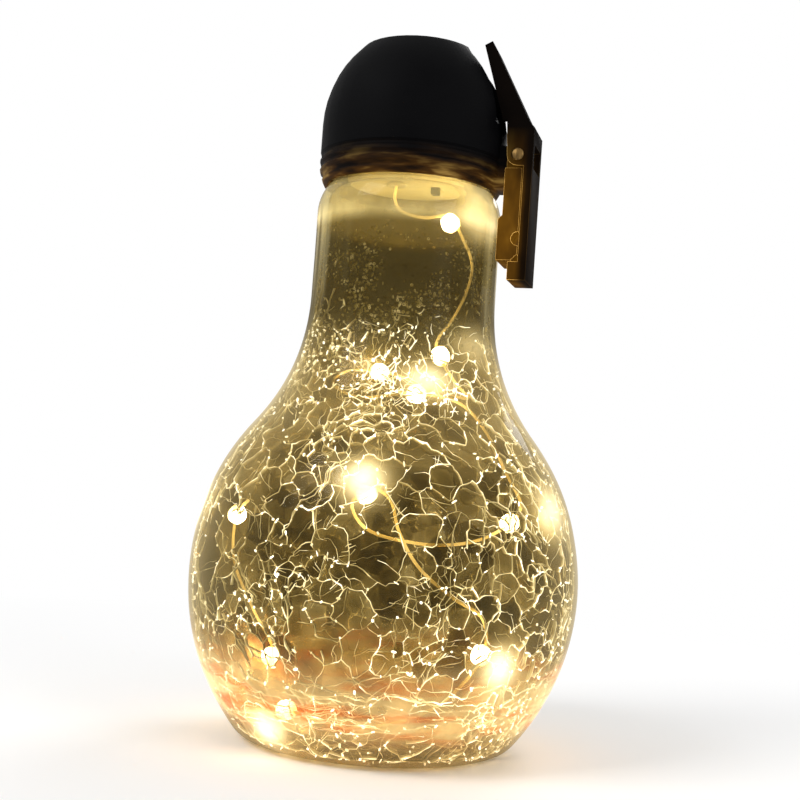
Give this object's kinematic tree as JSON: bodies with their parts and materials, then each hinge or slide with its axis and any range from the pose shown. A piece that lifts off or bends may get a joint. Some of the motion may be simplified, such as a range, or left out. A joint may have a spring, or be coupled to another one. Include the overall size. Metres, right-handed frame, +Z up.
{
  "type": "solar bulb light",
  "caption": "Crackle glass light bulb with a screw-on black solar cap, a spring peg clip on the cap's side and a string of warm white lights inside.",
  "frame": {"origin": "centre of the glass base, on the plane it stands on", "axes": "+Z up the bulb's axis to the solar panel, +X towards the peg clip, +Y completes the right-handed frame"},
  "size_m": [0.0898, 0.0898, 0.1632],
  "materials": {
    "crackle_glass": "amber-tinted soda-lime glass with crackle inside the wall",
    "silicone": "milky silicone",
    "black_abs": "fine-textured moulded plastic",
    "circuit_laminate": "solder-masked laminate",
    "silicon_cell": "dark blue silicon with fine grid lines",
    "panel_resin": "clear casting resin",
    "white_abs": "moulded plastic",
    "plated_steel": "nickel plated",
    "battery_sleeve": "shrink sleeve",
    "knob_plastic": "moulded plastic",
    "chip_epoxy": "moulded epoxy",
    "coil_lacquer": "lacquered",
    "red_pvc": "wire insulation",
    "black_pvc": "wire insulation",
    "enamelled_copper": "enamelled copper wire",
    "light_resin": "clear resin drop over a warm white chip",
    "clip_abs": "fine-textured moulded plastic",
    "spring_steel": "bright spring wire"
  },
  "bodies": {
    "bulb": {"glass_bulb": "crackle_glass"},
    "seal": {"rim_seal": "silicone"},
    "cap": {"cap_shell": "black_abs", "panel_board": "circuit_laminate", "solar_cell_1": "silicon_cell", "solar_cell_2": "silicon_cell", "solar_cell_3": "silicon_cell", "solar_cell_4": "silicon_cell", "panel_cover": "panel_resin", "plug_housing": "white_abs", "cap_screw_1": "plated_steel", "cap_screw_2": "plated_steel", "cap_screw_3": "plated_steel", "battery": "battery_sleeve", "plus_contact": "plated_steel", "minus_spring": "plated_steel", "circuit_board": "circuit_laminate", "switch_body": "plated_steel", "driver_chip": "chip_epoxy", "choke_coil": "coil_lacquer", "panel_lead_plus": "red_pvc", "panel_lead_minus": "black_pvc", "battery_lead_plus": "red_pvc", "battery_lead_minus": "black_pvc", "wire_grommet": "silicone", "string_wire": "enamelled_copper", "led_bead_1": "light_resin", "led_bead_2": "light_resin", "led_bead_3": "light_resin", "led_bead_4": "light_resin", "led_bead_5": "light_resin", "led_bead_6": "light_resin", "led_bead_7": "light_resin", "led_bead_8": "light_resin", "led_bead_9": "light_resin", "led_bead_10": "light_resin", "clip_jaw": "clip_abs", "clip_pin": "plated_steel"},
    "arm": {"clip_arm": "clip_abs", "clip_spring": "spring_steel"},
    "knob": {"switch_knob": "knob_plastic"}
  },
  "joints": [
    {"name": "cap_lift", "type": "slide", "parent": "bulb", "child": "seal", "axis": [0, 0, 1], "range_m": [0, 0.006]},
    {"name": "cap_turn", "type": "hinge", "parent": "seal", "child": "cap", "pos_m": [0, 0, 0.135], "axis": [0, 0, 1], "range_deg": [0, 540]},
    {"name": "clip_open", "type": "hinge", "parent": "cap", "child": "arm", "pos_m": [0.0262, 0, 0.1365], "axis": [0, -1, 0], "range_deg": [0, 9], "stiffness_Nm_per_rad": 0.15, "springref_deg": -20.05},
    {"name": "switch_slide", "type": "slide", "parent": "cap", "child": "knob", "axis": [0, 1, 0], "range_m": [0, 0.0024]}
  ],
  "couplings": [
    {"joint": "cap_lift", "follows": "cap_turn", "m_per_rad": 0.00063662}
  ]
}
